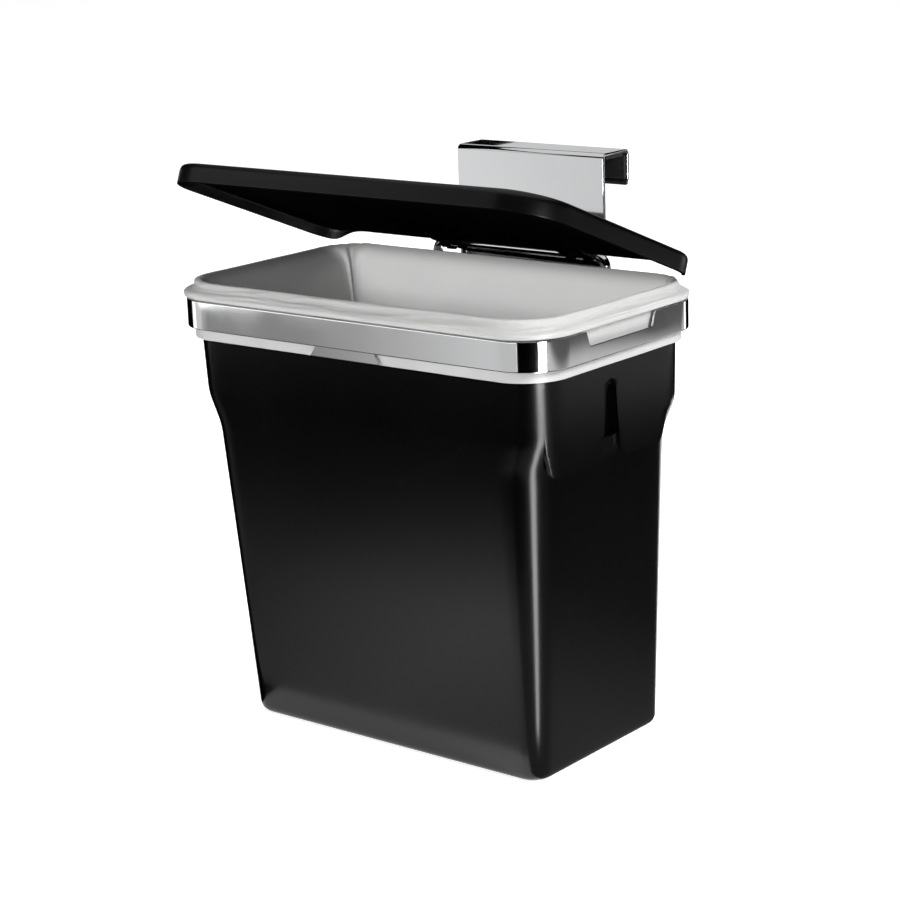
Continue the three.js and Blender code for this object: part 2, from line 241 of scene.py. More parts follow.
def ramp(tree, value, low, high, from_low=0.35, from_high=0.65):
    node = tree.nodes.new("ShaderNodeMapRange")
    node.inputs["From Min"].default_value = from_low
    node.inputs["From Max"].default_value = from_high
    node.inputs["To Min"].default_value = low
    node.inputs["To Max"].default_value = high
    tree.links.new(value, node.inputs["Value"])
    return node.outputs["Result"]


def bump(tree, shader, height, strength, distance_mm, below=None):
    node = tree.nodes.new("ShaderNodeBump")
    node.inputs["Strength"].default_value = strength
    node.inputs["Distance"].default_value = distance_mm * MM
    tree.links.new(height, node.inputs["Height"])
    if below is not None:
        tree.links.new(below, node.inputs["Normal"])
    tree.links.new(node.outputs["Normal"], shader.inputs["Normal"])
    return node.outputs["Normal"]


def color_between(tree, factor, first, second):
    node = tree.nodes.new("ShaderNodeMix")
    node.data_type = "RGBA"
    node.inputs["A"].default_value = (*first, 1)
    node.inputs["B"].default_value = (*second, 1)
    tree.links.new(factor, node.inputs["Factor"])
    return node.outputs["Result"]


GRAIN_STRENGTH = 0.25


def grained_plastic(name, dark, light, roughness, grain_scale, grain_depth, specular):
    """Moulded plastic with a fine spark-eroded grain and slightly uneven gloss."""
    material, tree, shader = principled(name, dark, roughness[0], Specular_IOR_Level=specular)
    place = coordinates(tree)
    grain = noise_node(tree, place, grain_scale, 2.0, 0.6)
    cloud = noise_node(tree, place, 9.0, 4.0)
    tree.links.new(color_between(tree, cloud, dark, light), shader.inputs["Base Color"])
    tree.links.new(ramp(tree, cloud, *roughness), shader.inputs["Roughness"])
    bump(tree, shader, grain, GRAIN_STRENGTH, grain_depth)
    return material


BLACK_DARK, BLACK_LIGHT = (0.0003, 0.0003, 0.0004), (0.0007, 0.0007, 0.0008)
BUCKET_PLASTIC = grained_plastic(
    "bucket_plastic", BLACK_DARK, BLACK_LIGHT, (0.19, 0.23), 2600, 0.03, 0.34)
LID_PLASTIC = grained_plastic(
    "lid_plastic", BLACK_DARK, BLACK_LIGHT, (0.28, 0.33), 3200, 0.03, 0.42)
LID_INNER = grained_plastic(
    "lid_plastic_inner", (0.0012, 0.0012, 0.0013), (0.002, 0.002, 0.002), (0.55, 0.62), 3200, 0.03,
    0.0)


def polished_steel():
    material, tree, shader = principled("polished_steel", (0.80, 0.805, 0.815), 0.07, 1.0)
    place = coordinates(tree)
    cloud = noise_node(tree, place, 22.0, 5.0)
    tree.links.new(ramp(tree, cloud, 0.05, 0.10), shader.inputs["Roughness"])
    tree.links.new(color_between(tree, cloud, (0.77, 0.775, 0.785), (0.83, 0.835, 0.84)),
                   shader.inputs["Base Color"])
    streaks = noise_node(tree, coordinates(tree, (60, 60, 1400)), 1.0, 2.0)
    bump(tree, shader, streaks, 0.02, 0.01)
    return material


STEEL = polished_steel()


def foam():
    material, tree, shader = principled("foam", (0.008, 0.008, 0.008), 0.95)
    cells = tree.nodes.new("ShaderNodeTexVoronoi")
    cells.inputs["Scale"].default_value = 1400
    tree.links.new(coordinates(tree), cells.inputs["Vector"])
    tree.links.new(color_between(tree, cells.outputs["Distance"], (0.006, 0.006, 0.006),
                                 (0.016, 0.016, 0.016)), shader.inputs["Base Color"])
    bump(tree, shader, cells.outputs["Distance"], 0.6, 0.3)
    return material


FOAM = foam()


def liner_film():
    """Thin milky film with painted light and shade: much darker over the rim and hem, paler inside
    the bin.
    """
    material, tree, shader = principled("liner_film", (0.85, 0.85, 0.84), 0.42)
    place = coordinates(tree)
    inside = tree.nodes.new("ShaderNodeAttribute")
    inside.attribute_name = "inside"
    cloud = noise_node(tree, place, 30.0, 5.0)
    # Painted shade and light: the same film is given a much darker colour over the rim and hem and
    # a paler one inside, switched by the inside mask.
    painted_shade_over_rim = color_between(tree, cloud, (0.28, 0.28, 0.277), (0.34, 0.34, 0.337))
    painted_light_inside = color_between(tree, cloud, (0.66, 0.66, 0.654), (0.73, 0.73, 0.723))
    mix = tree.nodes.new("ShaderNodeMix")
    mix.data_type = "RGBA"
    tree.links.new(inside.outputs["Fac"], mix.inputs["Factor"])
    tree.links.new(painted_shade_over_rim, mix.inputs["A"])
    tree.links.new(painted_light_inside, mix.inputs["B"])
    tree.links.new(mix.outputs["Result"], shader.inputs["Base Color"])
    crinkle = noise_node(tree, coordinates(tree, (1, 1, 0.45)), 260.0, 4.0)
    soft = noise_node(tree, coordinates(tree, (1, 1, 0.35)), 55.0, 3.0)
    lower = bump(tree, shader, soft, 0.35, 0.8)
    bump(tree, shader, crinkle, 0.22, 0.2, lower)
    return material


FILM = liner_film()

# ---------------------------------------------------------------- bucket
BUCKET_FLOOR = 2.5
# Rows of the shell's profile, outside then inside: z, half width, front, back, corner radius.
BUCKET_ROWS = [
    [0, 96, -40, 56, 6], [0, 115.6, -57.7, 74.6, 12.6], [STEP_LOW, 128.4, -74.6, 76, 25],
    [STEP_HIGH, 136.4, -76.4, 78.8, 26], [FLANGE_LOW, 137.6, -80.3, 80, 27],
    [FLANGE_LOW, 144.6, -85.9, 84.1, 30], [FLANGE_HIGH, 144.6, -85.9, 84.1, 30],
    [FLANGE_HIGH, 138.6, -80.8, 79.6, 28.6], [RIM_TOP, 138.6, -80.8, 79.6, 28.6],
    [RIM_TOP, 136.2, -78.6, 77.9, 27], [STEP_HIGH, 134.2, -74.2, 76.6, 25],
    [STEP_LOW, 126.2, -72.4, 73.8, 24], [BUCKET_FLOOR, 113.4, -55.5, 72.4, 11],
    [BUCKET_FLOOR, 90, -36, 52, 5],
]
BUCKET_FILLETS = [0, 6.5, 6, 5, 0.8, 0.6, 0.6, 0.8, 0.8, 0.8, 5, 5, 5, 0]
SKIRT_LOW = 191.8
SKIRT_FRONT = [(-67.5, 247), (-65.1, 214), (-64.2, 207), (-62.8, 201), (-61.6, 195.4),
               (-59.6, 192.7), (-57, SKIRT_LOW)]
SKIRT_BACK = [(43.8, SKIRT_LOW), (46.9, 194.8), (52.6, 210.4), (58.1, 215.4), (64, 247)]
LEFT_SET_BACK = 14.0
SLOT_TOP = [(-1.1, 230.2), (-1.8, 236.3), (-3.3, 239.2), (-5.9, 241), (-8.6, 239.6), (-10.2, 237),
            (-11.8, 232)]
POCKET_X = 129.0


def collar_row(z, offset=0.0):
    """The collar's outline, carried straight down past the step."""
    t = (z - STEP_HIGH) / (FLANGE_LOW - STEP_HIGH)
    half_x, front, back, radius = (a + (b - a) * t for a, b in (
        (136.4, 137.6), (-76.4, -80.3), (78.8, 80.0), (26, 27)))
    return [z, half_x + offset, front - offset, back + offset, radius + offset]


def collar_x(y, z):
    """Half width of the collar's outline at a depth y."""
    _, half_x, front, back, radius = collar_row(z)
    past = max(front + radius - y, y - back + radius, 0.0)
    return half_x - radius + math.sqrt(max(radius ** 2 - past ** 2, 0.0))


def collar_side(z):
    """Half width of the collar's straight sides."""
    return collar_row(z)[1]


def bucket():
    """The shell with its step, the skirts that hang past the step, and a slot in each skirt."""
    rows = denser(fillet_rows(BUCKET_ROWS, BUCKET_FILLETS), 12)
    body = make("bucket_shell", *loft([corner_ring(r) for r in rows]), BUCKET_PLASTIC)
    skirts, cutters = [], []
    slot = round_corners(
        [(-24, 176), (11, 176), (7.6, SKIRT_LOW), (3.3, 194.8), (3.1, 197)] + SLOT_TOP
        + [(-14.4, 197), (-15.6, 194.4), (-20, SKIRT_LOW)], 1.6, 4)
    pocket = round_corners(SLOT_TOP + [(-13.7, 206), (1.9, 206)], 1.2, 3)
    for side, name in ((1, "right"), (-1, "left")):
        back = LEFT_SET_BACK if side < 0 else 0.0
        shape = round_corners([(y + back, z) for y, z in SKIRT_FRONT] + SKIRT_BACK, 1.2, 3)

        def across(offset, side=side):
            return lambda z: side * (collar_side(z) + offset)

        levels = np.linspace(184, 251, 24)
        wall = [corner_ring(collar_row(z, 0.012)) for z in levels]
        wall += [corner_ring(collar_row(z, -2.0)) for z in levels[::-1]]
        skirt = make(f"skirt_{name}", *loft(wall, looped=True), BUCKET_PLASTIC)
        prism = make(f"prism_{name}", *extrude_x(shape, side * 96.0, side * 160.0), BUCKET_PLASTIC)
        boolean(skirt, [prism], "INTERSECT")
        block = make(f"block_{name}", *extrude_x([(-18, 200), (7, 200), (4, 245), (-16, 245)],
                     side * (POCKET_X - 1.8), across(-1.0)), BUCKET_PLASTIC)
        skirts += [skirt, block]
        cutters.append(make(f"slot_{name}", *extrude_x(slot, across(-2.3), across(6)),
                            BUCKET_PLASTIC))
        cutters.append(make(f"pocket_{name}", *extrude_x(pocket, side * POCKET_X, across(7)),
                            BUCKET_PLASTIC))
    boolean(body, skirts, "UNION")
    boolean(body, cutters, "DIFFERENCE", 24)
    soften_skirt_edges(body)
    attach(body, "bin")
    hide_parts("bucket")


def soften_skirt_edges(body):
    """Rounds the thin outer edges of the skirts and slots, which catch the light."""
    work = bmesh.new()
    work.from_mesh(body.data)
    weight = work.edges.layers.float.get("bevel_weight_edge") or \
        work.edges.layers.float.new("bevel_weight_edge")
    for edge in work.edges:
        if len(edge.link_faces) != 2 or edge.calc_face_angle() < math.radians(40):
            continue
        on_face = all(abs(abs(v.co.x) / MM - collar_x(v.co.y / MM, v.co.z / MM)) < 0.06
                      and v.co.z / MM < 245 for v in edge.verts)
        middle = (edge.verts[0].co + edge.verts[1].co) / (2 * MM)
        in_slot = -16 < middle.y < 5
        if on_face and (in_slot or middle.z < STEP_HIGH + 2):
            edge[weight] = 1.0
    work.to_mesh(body.data)
    work.free()
    mod = body.modifiers.new("edge", "BEVEL")
    mod.width = 0.45 * MM
    mod.segments = 2
    mod.limit_method = "WEIGHT"
    mod.use_clamp_overlap = True
    bake_modifiers(body, 24)


# ---------------------------------------------------------------- liner
FILM_GAP = 0.5
FILM_STEPS = (30, 110, 64)           # columns round a corner, along a long side and a short side
FILM_HEM_LOW = 251.2
LID_SIDE_X = 142.6                   # from here out the film lies under the shut lid's edge
UNDER_LID = FLANGE_HIGH + 1.4
PLEAT_DEPTH = 2.4                    # of the fold that stands in each inner corner


def film_rows():
    """The film's profile from the middle of the floor, up, over the rim and down to the hem."""
    floor = BUCKET_FLOOR + FILM_GAP
    inner = [
        [floor, 60, -10, 26, 3], [floor, 106, -48, 65, 7], [STEP_LOW - 10, 120.4, -66.4, 68.4, 8],
        [STEP_LOW + 14, 121.6, -68, 70, 7], [252, 126.4, -70.4, 71.2, 7.5],
        [276, 130.8, -73.8, 73.4, 10.5], [RIM_TOP - 1.2, 135.7, -78.1, 77.4, 26.6],
    ]
    over = [
        [RIM_TOP + 0.9, 136.9, -79.2, 78.4, 27.5], [RIM_TOP + 0.4, 139.4, -81.7, 80.3, 29],
        [FLANGE_HIGH + 3.0, 140.4, -82.4, 80.8, 29.2],
        [FLANGE_HIGH + 1.0, 144.6, -86.0, 84.2, 30.2],
        [FLANGE_HIGH - 0.6, 145.6, -86.9, 85.0, 31], [FLANGE_LOW - 0.6, 145.3, -86.6, 84.8, 31],
        [FLANGE_LOW - 1.0, 141.4, -83.4, 83.3, 28.6], [BAND_HIGH - 3, 140.4, -82.4, 82.4, 27.6],
        [BAND_LOW, 139.6, -81.6, 81.6, 27.2], [FILM_HEM_LOW, 139.9, -82.0, 81.9, 27.2],
    ]
    fillets = [0, 8, 10, 16, 12, 4, 0.8, 1.2, 1.4, 1.6, 1.2, 1.0, 1.0, 1.0, 1.5, 3, 0]
    rows = fillet_rows(inner + over, fillets, 5)
    first_over = next(i for i, r in enumerate(rows) if r[0] > RIM_TOP - 3)
    return denser(rows[:first_over + 1], 3.0) + denser(rows[first_over:], 1.0)[1:]


def hang_inside(ring, depth, height):
    """How far each point of an inner ring hangs away from the wall, as a negative move."""
    free = min(1.0, -depth / 40.0) * min(1.0, max(0.0, height - 12) / 60)
    move = np.zeros(len(ring))
    for k, (x, y, z) in enumerate(ring):
        slow = noise.noise(Vector((x / 46, y / 46, z / 120 + 3)))
        quick = noise.noise(Vector((x / 13, y / 13, z / 75 + 9)))
        move[k] -= free * (1.3 * (slow + 0.5) + 0.35 * quick)
    return move


def lie_over_rim(ring, depth):
    """Outward and upward waves of the turned-down edge: soft folds, creases, a loose hem."""
    hem = max(0.0, min(1.0, (depth - 14) / 6))
    loose = math.sin(math.pi * min(1.0, max(0.0, depth / 13.0)))
    move, lift = np.zeros(len(ring)), np.zeros(len(ring))
    for k, (x, y, _) in enumerate(ring):
        slow = noise.noise(Vector((x / 38, y / 38, depth / 26)))
        fold = noise.noise(Vector(((x - y) / 55, (x + y) / 55, depth / 2.8 + x / 60)))
        crease = 1 - 2 * abs(noise.noise(Vector((x / 24, y / 24, depth / 4 + 5))))
        move[k] += loose * (0.8 * slow + 1.5 * fold + 1.6 * max(0.0, crease - 0.65))
        move[k] += hem * (0.4 * max(slow, 0.0) + 0.5 * max(0.0, crease - 0.7))
        lift[k] += loose * (0.7 * slow + 0.7 * fold)
    return move, lift


def columns_from_corners(count):
    """For each corner: every column's distance from its middle, and which columns lie past it."""
    per_corner, long_part, short_part = FILM_STEPS[0] + 1, FILM_STEPS[1] - 1, FILM_STEPS[2] - 1
    starts = [0, per_corner + long_part, 2 * per_corner + long_part + short_part,
              3 * per_corner + 2 * long_part + short_part]
    column = np.arange(count)
    out = []
    for start in starts:
        middle = start + per_corner * 0.5
        away = np.abs(column - middle)
        out.append((np.minimum(away, count - away), column > middle))
    return out


def liner():
    """The bag as one sheet: floor, walls, over the rim and flange, and the hem behind the band."""
    rows = film_rows()
    grid = np.array([corner_ring(r, *FILM_STEPS) for r in rows])
    inside = np.zeros(grid.shape[:2])
    corners = columns_from_corners(grid.shape[1])
    near_corner = sum(np.exp(-(away / 13.0) ** 2) for away, _ in corners)
    lengths = [np.hypot(*(b - a)[:2]) for a, b in zip(rows, rows[1:])]
    travelled = np.concatenate([[0], np.cumsum(lengths)])
    rim_at = travelled[int(np.argmax([r[0] for r in rows]))]
    for ring, row, distance, shade in zip(grid, rows, travelled, inside):
        depth = distance - rim_at                # negative inside the bin, positive outside
        normal_xy = ring_normals(ring[:, :2])
        # Mask of the film's painted light and shade: 1 inside the bin, falling to 0 over the rim
        # and hem.
        shade[:] = 1.0 / (1.0 + math.exp((depth + 5.0) / 1.6))
        if depth < 0:
            move, lift = hang_inside(ring, depth, row[0]), np.zeros(len(ring))
            for away, past in corners:
                pleat = np.exp(-((away - 2.0) / 2.4) ** 2) * np.where(past, 1.0, 0.25)
                move -= pleat * PLEAT_DEPTH * min(1.0, -depth / 6.0) * math.exp(depth / 110.0)
        else:
            move, lift = lie_over_rim(ring, depth)
        if -14 < depth < 16:
            gathers = np.array([noise.noise(Vector((x / 4.2, y / 4.2, depth / 22)))
                                for x, y, _ in ring])
            strength = math.sin(math.pi * (depth + 14) / 30)
            outward = max(-1.0, min(1.0, depth / 3))
            move += near_corner * np.abs(gathers) * 1.5 * strength * outward
            lift += near_corner * np.abs(gathers) * 1.2 * strength
        if depth >= 0:
            move, lift = np.maximum(move, -0.25), np.maximum(lift, -0.15)
        ring[:, 0] += normal_xy[:, 0] * move
        ring[:, 1] += normal_xy[:, 1] * move
        ring[:, 2] += lift
        under_lid = (np.abs(ring[:, 0]) > LID_SIDE_X) & (ring[:, 2] > UNDER_LID)
        ring[under_lid, 2] = UNDER_LID
    points, faces = loft(list(grid), cap_first=True, cap_last=False)
    obj = make("liner_film", points, faces, FILM, 180, merge=False)
    attribute = obj.data.attributes.new("inside", "FLOAT", "POINT")
    attribute.data.foreach_set("value", inside.reshape(-1).astype(np.float32))
    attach(obj, "bin")
    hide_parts("bag_liner")


def ring_normals(xy):
    """Outward unit normals of a closed anticlockwise ring."""
    along = np.roll(xy, -1, axis=0) - np.roll(xy, 1, axis=0)
    along /= np.linalg.norm(along, axis=1, keepdims=True)
    return np.column_stack([along[:, 1], -along[:, 0]])


# ---------------------------------------------------------------- frame band
NOTCH_TOP = [(-39.9, 0.0), (-36.7, -8.8), (26.7, -8.8), (29.9, 0.0)]


def notch_profile():
    """(y, drop) along a short side: down into the finger notch, along it and up again."""
    path = round_corners([(-60, 0)] + NOTCH_TOP + [(60, 0), (60, 40), (-60, 40)],
                         [0, 0.5, 1.6, 1.6, 0.5, 0, 0, 0], 6)
    path = [p for p in path if p[1] <= 1e-9 and abs(p[0]) < 59]
    out = []
    for a, b in zip(path, path[1:]):
        n = max(1, int(np.hypot(*(b - a)) / 1.2))
        out += [a + (b - a) * k / n for k in range(n)]
    return out + [path[-1]]


def band():
    """The steel band with a finger notch in each short side, and its tab in front."""
    plan = corner_ring([0, BAND_HALF_X, -BAND_HALF_Y, BAND_HALF_Y, BAND_CORNER], 20, 40, 2)[:, :2]
    notch = notch_profile()
    side_y = BAND_HALF_Y - BAND_CORNER
    columns = []
    for x, y in plan:
        if abs(abs(x) - BAND_HALF_X) < 1e-6 and abs(y) < side_y - 1e-6:
            continue
        columns.append((x, y, 0.0))
        if abs(x - BAND_HALF_X) < 1e-6 and abs(y + side_y) < 1e-6:
            columns += [(BAND_HALF_X, py, drop) for py, drop in notch]
        if abs(x + BAND_HALF_X) < 1e-6 and abs(y - side_y) < 1e-6:
            columns += [(-BAND_HALF_X, py, drop) for py, drop in notch[::-1]]
    columns = np.array(columns)
    normal = ring_normals(columns[:, :2])
    straight = np.abs(np.abs(columns[:, 0]) - BAND_HALF_X) < 1e-6
    normal[straight] = np.column_stack([np.sign(columns[straight, 0]), np.zeros(straight.sum())])
    edge = 0.35
    rounded = [(edge * (1 - math.sin(a)), edge * (1 - math.cos(a)))
               for a in np.linspace(0, math.pi / 2, 5)]
    rings = []

    def ring(inset, height, from_top):
        if from_top:
            z = BAND_HIGH + columns[:, 2] - height
        else:
            z = np.full(len(columns), BAND_LOW + height)
        return np.column_stack([columns[:, 0] - normal[:, 0] * inset,
                                columns[:, 1] - normal[:, 1] * inset, z])

    beside = edge + 0.4
    for inset, height in rounded + [(0, beside)]:
        rings.append(ring(inset, height, False))
    for inset, height in [(0, beside)] + rounded[::-1]:
        rings.append(ring(inset, height, True))
    for inset, height in rounded + [(0, beside)]:
        rings.append(ring(BAND_THICK - inset, height, True))
    for inset, height in [(0, beside)] + rounded[::-1]:
        rings.append(ring(BAND_THICK - inset, height, False))
    points, faces = loft(rings, looped=True)
    obj = make("steel_band", points, faces, STEEL, 50)
    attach(obj, "bin")
    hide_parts("frame_band")
    tab_outline = round_corners([(-27.3, 251.8), (27.3, 251.8), (22.3, 258.4), (22.3, 260.4),
                                 (-22.3, 260.4), (-22.3, 258.4)], [0.8, 0.8, 0, 0, 0, 0], 4)
    low, high = -84.35, -83.05
    rings = [np.array([(x, y, z) for x, z in tab_outline]) for y in (low, high)]
    tab = make("steel_band_tab", *loft(rings), STEEL)
    bevel(tab, 0.35, 3, sharp_deg=10)
    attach(tab, "bin")


# ---------------------------------------------------------------- rod, hook, pads, rivets
def tube(name, path, radius, material, sides=28):
    """A round bar along a planar path in X and Z, with slightly eased ends."""
    path = [np.array(p, float) for p in path]
    rings = []
    for i, p in enumerate(path):
        a, b = path[max(0, i - 1)], path[min(len(path) - 1, i + 1)]
        t = (b - a) / np.linalg.norm(b - a)
        side = np.array([t[2], 0, -t[0]])
        up = np.array([0.0, 1.0, 0.0])
        angle = np.arange(sides) * 2 * math.pi / sides
        rings.append(p + radius * (np.cos(angle)[:, None] * side + np.sin(angle)[:, None] * up))

    def eased_end(ring, end, before):
        middle, outward = ring.mean(0), (end - before) / np.linalg.norm(end - before)
        return middle + (ring - middle) * 0.82 + outward * 0.5

    start = eased_end(rings[0], path[0], path[1])
    stop = eased_end(rings[-1], path[-1], path[-2])
    return make(name, *loft([start] + rings + [stop]), material, 50)


def rod():
    """The hinge rod: a bar across the back with a leg bent down at each end."""
    half, bend, foot = 67.0, 7.0, 261.5
    path = [(-half, ROD_Y, foot), (-half, ROD_Y, ROD_Z - bend - 4)]
    for centre, start in ((bend - half, 180), (half - bend, 90)):
        for k in range(13):
            a = math.radians(start - 90 * k / 12)
            path.append((centre + bend * math.cos(a), ROD_Y, ROD_Z - bend + bend * math.sin(a)))
    path += [(half, ROD_Y, ROD_Z - bend - 4), (half, ROD_Y, foot)]
    obj = tube("hinge_rod_bar", path, ROD_RADIUS, STEEL)
    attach(obj, "bin")
    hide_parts("hinge_rod")


PLATE_HALF_X, PLATE_THICK, PLATE_Y = 57.6, 2.0, 100.9
HOOK_TOP, HOOK_DEPTH, LEG_LOW, LIP = 353.8, 29.3, 331.0, 4.0
SHELF_TOP, FLANGE_FOOT, BEND_RADIUS = 272.0, 259.4, 1.8


def bent_sheet(corners, thick, inner_radius, steps=8):
    """Outline of a folded sheet from its middle line, in (y, z)."""
    radius = inner_radius + thick / 2
    beside = 0.5
    points = [np.array(c, float) for c in corners]
    left, right = [], []

    def put(point, normal):
        left.append(point + normal * thick / 2)
        right.append(point - normal * thick / 2)

    def normal_of(a, b):
        t = (b - a) / np.linalg.norm(b - a)
        return np.array([-t[1], t[0]])

    put(points[0], normal_of(points[0], points[1]))
    for i in range(1, len(points) - 1):
        before, after = normal_of(points[i - 1], points[i]), normal_of(points[i], points[i + 1])
        along_in, along_out = np.array([before[1], -before[0]]), np.array([after[1], -after[0]])
        put(points[i] - along_in * (radius + beside), before)
        turn = math.copysign(1, before[0] * after[1] - before[1] * after[0])
        centre = points[i] + (before + after) * turn * radius
        for k in range(steps + 1):
            a = turn * math.pi / 2 * k / steps
            n = np.array([before[0] * math.cos(a) - before[1] * math.sin(a),
                          before[0] * math.sin(a) + before[1] * math.cos(a)])
            put(centre - n * turn * radius, n)
        put(points[i] + along_out * (radius + beside), after)
    put(points[-1], normal_of(points[-2], points[-1]))
    return left + right[::-1]


def hook():
    """The hook: a foot behind the band, a shelf, the plate, the bridge and the leg with its lip."""
    half = PLATE_THICK / 2
    foot_y, plate_y = BAND_HALF_Y + 0.3 + half, PLATE_Y + half
    leg_y = PLATE_Y + HOOK_DEPTH - half
    shelf_z, bridge_z, lip_z = SHELF_TOP - half, HOOK_TOP - half, LEG_LOW + half
    outline = bent_sheet([(foot_y, FLANGE_FOOT), (foot_y, shelf_z), (plate_y, shelf_z),
                          (plate_y, bridge_z), (leg_y, bridge_z), (leg_y, lip_z),
                          (leg_y + half - LIP, lip_z)], PLATE_THICK, BEND_RADIUS)
    obj = make("hook_plate", *extrude_x(outline, -PLATE_HALF_X, PLATE_HALF_X), STEEL)
    bevel(obj, 0.3, 3, 60)
    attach(obj, "bin")
    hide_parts("hook_bracket")


def pads():
    """The foam lining, one slab inside each face of the hook."""
    for name in ("pad_plate", "pad_leg", "pad_bridge"):
        low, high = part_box(name)
        low, high = np.array(low) / MM, np.array(high) / MM
        outline = [(low[1], low[2]), (high[1], low[2]), (high[1], high[2]), (low[1], high[2])]
        obj = make(f"foam_{name}", *extrude_x(outline, low[0], high[0]), FOAM)
        bevel(obj, 0.5, 3)
        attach(obj, "bin")
        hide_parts(name)


def lathe_y(name, profile, centre_x, centre_z, material, sides=32):
    """A turned piece about a line along Y; profile holds (radius, y) from axis to axis."""
    rings = []
    angle = np.arange(sides) * 2 * math.pi / sides
    for r, y in profile:
        rings.append(np.column_stack([centre_x + r * np.cos(angle), np.full(sides, y),
                                      centre_z + r * np.sin(angle)]))
    return make(name, *loft(rings), material, 40)


def rivets():
    """Three rivets through the band and the hook's foot."""
    inner = BAND_HALF_Y - BAND_THICK - 0.3
    outer = BAND_HALF_Y + 0.3 + PLATE_THICK + 0.3
    head = [(4.0 * math.cos(a), outer + 0.5 + 1.3 * math.sin(a)) for a in np.linspace(0, 1.52, 8)]
    profile = [(0.05, inner - 0.7), (2.9, inner - 0.7), (3.4, inner), (2.0, inner), (2.0, outer),
               (4.0, outer)] + head
    for name, x in (("rivet_left", -38), ("rivet_middle", 0), ("rivet_right", 38)):
        obj = lathe_y(f"{name}_head", profile, x, 265, STEEL)
        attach(obj, "bin")
        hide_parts(name)


# ---------------------------------------------------------------- lid
LID_HALF_X, LID_FRONT, LID_BACK, LID_CORNER = 145.8, -95.7, 82.5, 31.0
LID_LOW, LID_TOP, LID_BACK_LOW, LID_THICK = 281.7, 294.3, 291.2, 2.2
EAR_X = (-60.5, -47.0, 39.5, 53.0)
EAR_WIDTH, EAR_RADIUS, EAR_BORE = 7.5, 5.4, 3.5


def lid_turn():
    """Turns the shut lid about the rod into the pose of the frame."""
    pivot = Vector((0, ROD_Y, ROD_Z))
    return Matrix.Translation(pivot) @ Matrix.Rotation(-math.radians(LID_OPEN_DEG), 4, "X") \
        @ Matrix.Translation(-pivot)


def lid():
    """The shallow tray, raised at its back edge to clear the rod, and its four clips."""
    outside = [[LID_TOP, 30], [LID_TOP, 0], [LID_LOW, 0], [LID_LOW, 1.1]]
    inside = [[LID_LOW, 1.1], [LID_LOW, LID_THICK], [LID_TOP - LID_THICK, LID_THICK],
              [LID_TOP - LID_THICK, 30]]
    profile = fillet_rows(outside, [0, 4.5, 0.7, 0], 8)
    profile = denser(profile + fillet_rows(inside, [0, 0.7, 7.5, 0], 8)[1:], 6)
    low_curve = round_corners([(40, LID_LOW), (70.6, LID_LOW), (78, LID_BACK_LOW),
                               (120, LID_BACK_LOW), (120, 330), (40, 330)],
                              [0, 3.5, 4.5, 0, 0, 0], 8)
    low_curve = np.array([p for p in low_curve if p[1] < 300])
    rings = []
    for z, inset in profile:
        radius = max(LID_CORNER - inset, 3.0)
        ring = corner_ring([z, LID_HALF_X - inset, LID_FRONT + inset, LID_BACK - inset, radius],
                           24, 40, 60)
        limit = LID_BACK_LOW + 0.3
        low = np.interp(ring[:, 1], low_curve[:, 0], low_curve[:, 1])
        low[ring[:, 1] < 40] = LID_LOW
        if z < limit:
            ring[:, 2] = low + (z - LID_LOW) * (limit - low) / (limit - LID_LOW)
        rings.append(ring)
    turn = lid_turn()
    obj = make("lid_tray", *loft(rings), LID_PLASTIC, 50, turn)
    obj.data.materials.append(LID_INNER)
    down = turn.to_3x3() @ Vector((0, 0, -1))
    for face in obj.data.polygons:
        if face.normal.dot(down) > 0.3:
            face.material_index = 1
    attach(obj, "lid")
    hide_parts("lid")
    for index, x in enumerate(EAR_X):
        clip = make(f"lid_clip_{index + 1}", *extrude_x(clip_outline(), x, x + EAR_WIDTH),
                    LID_PLASTIC, 35, turn)
        bevel(clip, 0.4, 2)
        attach(clip, "lid")


def clip_outline():
    """(y, z) outline of a clip: an open ring round the rod with its root in the lid."""
    def at(degrees, radius):
        a = math.radians(degrees)
        return (ROD_Y + radius * math.cos(a), ROD_Z + radius * math.sin(a))

    outer = [at(150 - 210 * k / 26, EAR_RADIUS) for k in range(27)]
    inner = [at(-60 + 300 * k / 34, EAR_BORE) for k in range(35)]
    root = [(74, LID_LOW + 7.6), (64, LID_TOP - LID_THICK + 0.4)]
    return [(64, LID_TOP - 1)] + outer + inner + [at(240, EAR_RADIUS), at(206, EAR_RADIUS)] + root


bucket()
liner()
band()
rod()
hook()
pads()
rivets()
lid()

# ---------------------------------------------------------------- stage, light, camera
scene = bpy.context.scene


def plane(name, corners, material):
    mesh = bpy.data.meshes.new(name)
    mesh.from_pydata([tuple(c) for c in corners], [], [(0, 1, 2, 3)])
    mesh.uv_layers.new(name="across").data.foreach_set("uv", [0, 0, 1, 0, 1, 1, 0, 1])
    obj = bpy.data.objects.new(name, mesh)
    scene.collection.objects.link(obj)
    obj.data.materials.append(material)
    return obj


floor_material = principled("floor_white", (0.80, 0.80, 0.80), 0.9, Specular_IOR_Level=0.0,
                            Emission_Color=(1, 1, 1, 1), Emission_Strength=0.62)[0]
FLOOR_HALF = 30                      # metres
plane("floor", [(-FLOOR_HALF, -FLOOR_HALF, 0), (FLOOR_HALF, -FLOOR_HALF, 0),
                (FLOOR_HALF, FLOOR_HALF, 0), (-FLOOR_HALF, FLOOR_HALF, 0)], floor_material)


